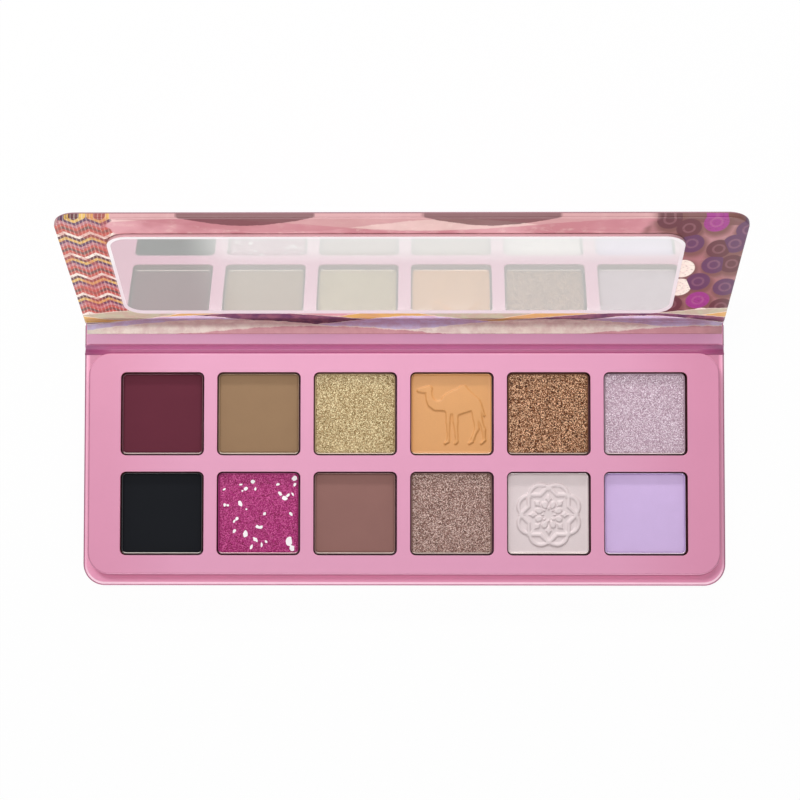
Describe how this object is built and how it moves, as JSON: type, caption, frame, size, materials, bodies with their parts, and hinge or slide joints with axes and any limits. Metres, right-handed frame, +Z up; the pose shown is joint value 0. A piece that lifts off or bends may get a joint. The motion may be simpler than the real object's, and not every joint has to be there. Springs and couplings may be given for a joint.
{
  "type": "eyeshadow palette",
  "caption": "Hard-cover eyeshadow palette: a paper-covered case with a windowed deck of powder pans and a mirrored lid on paper creases.",
  "frame": {"origin": "centre of the base board's underside, which rests on the table", "axes": "+X to the right along the hinge, -Y to the front, +Y to the hinge, +Z up"},
  "size_m": [0.16, 0.0861, 0.0566],
  "materials": {
    "wrap_paper": "satin",
    "greyboard": "matte",
    "lining_paper": "satin",
    "spine_paper": "satin",
    "print_paper": "satin",
    "crease_paper": "matte",
    "deck_board": "matte",
    "deck_paper": "satin",
    "glue": "satin",
    "magnet": "satin",
    "mirror": "polished",
    "tape": "matte",
    "pan_metal": "satin",
    "powder_black": "matte",
    "powder_magenta": "satin",
    "powder_mauve_brown": "matte",
    "powder_taupe": "satin",
    "powder_ivory": "satin",
    "powder_lavender": "matte",
    "powder_burgundy": "matte",
    "powder_olive_tan": "matte",
    "powder_gold": "satin",
    "powder_ochre": "matte",
    "powder_copper": "satin",
    "powder_lilac_silver": "satin"
  },
  "bodies": {
    "base": {"base_wrap": "wrap_paper", "base_board": "greyboard", "base_lining": "lining_paper", "deck_core": "deck_board", "deck_cover": "deck_paper", "pan_glue": "glue", "pan_front_1": "pan_metal", "pan_front_2": "pan_metal", "pan_front_3": "pan_metal", "pan_front_4": "pan_metal", "pan_front_5": "pan_metal", "pan_front_6": "pan_metal", "pan_rear_1": "pan_metal", "pan_rear_2": "pan_metal", "pan_rear_3": "pan_metal", "pan_rear_4": "pan_metal", "pan_rear_5": "pan_metal", "pan_rear_6": "pan_metal", "powder_front_1": "powder_black", "powder_front_2": "powder_magenta", "powder_front_3": "powder_mauve_brown", "powder_front_4": "powder_taupe", "powder_front_5": "powder_ivory", "powder_front_6": "powder_lavender", "powder_rear_1": "powder_burgundy", "powder_rear_2": "powder_olive_tan", "powder_rear_3": "powder_gold", "powder_rear_4": "powder_ochre", "powder_rear_5": "powder_copper", "powder_rear_6": "powder_lilac_silver", "base_magnets": "magnet", "base_hinge_strip": "crease_paper"},
    "spine": {"spine_wrap": "wrap_paper", "spine_board": "greyboard", "spine_lining": "spine_paper", "lid_hinge_strip": "crease_paper"},
    "lid": {"lid_wrap": "wrap_paper", "lid_board": "greyboard", "lid_lining": "print_paper", "lid_magnets": "magnet", "mirror": "mirror", "mirror_tape": "tape"}
  },
  "joints": [
    {"name": "spine_hinge", "type": "hinge", "parent": "base", "child": "spine", "pos_m": [0, 0.02994, 0.0008], "axis": [1, 0, 0], "range_deg": [0, 90], "deforming": ["base_hinge_strip"]},
    {"name": "lid_hinge", "type": "hinge", "parent": "spine", "child": "lid", "pos_m": [0, 0.0368, 0.0008], "axis": [1, 0, 0], "range_deg": [-70.65, 19.35], "deforming": ["lid_hinge_strip"]}
  ]
}
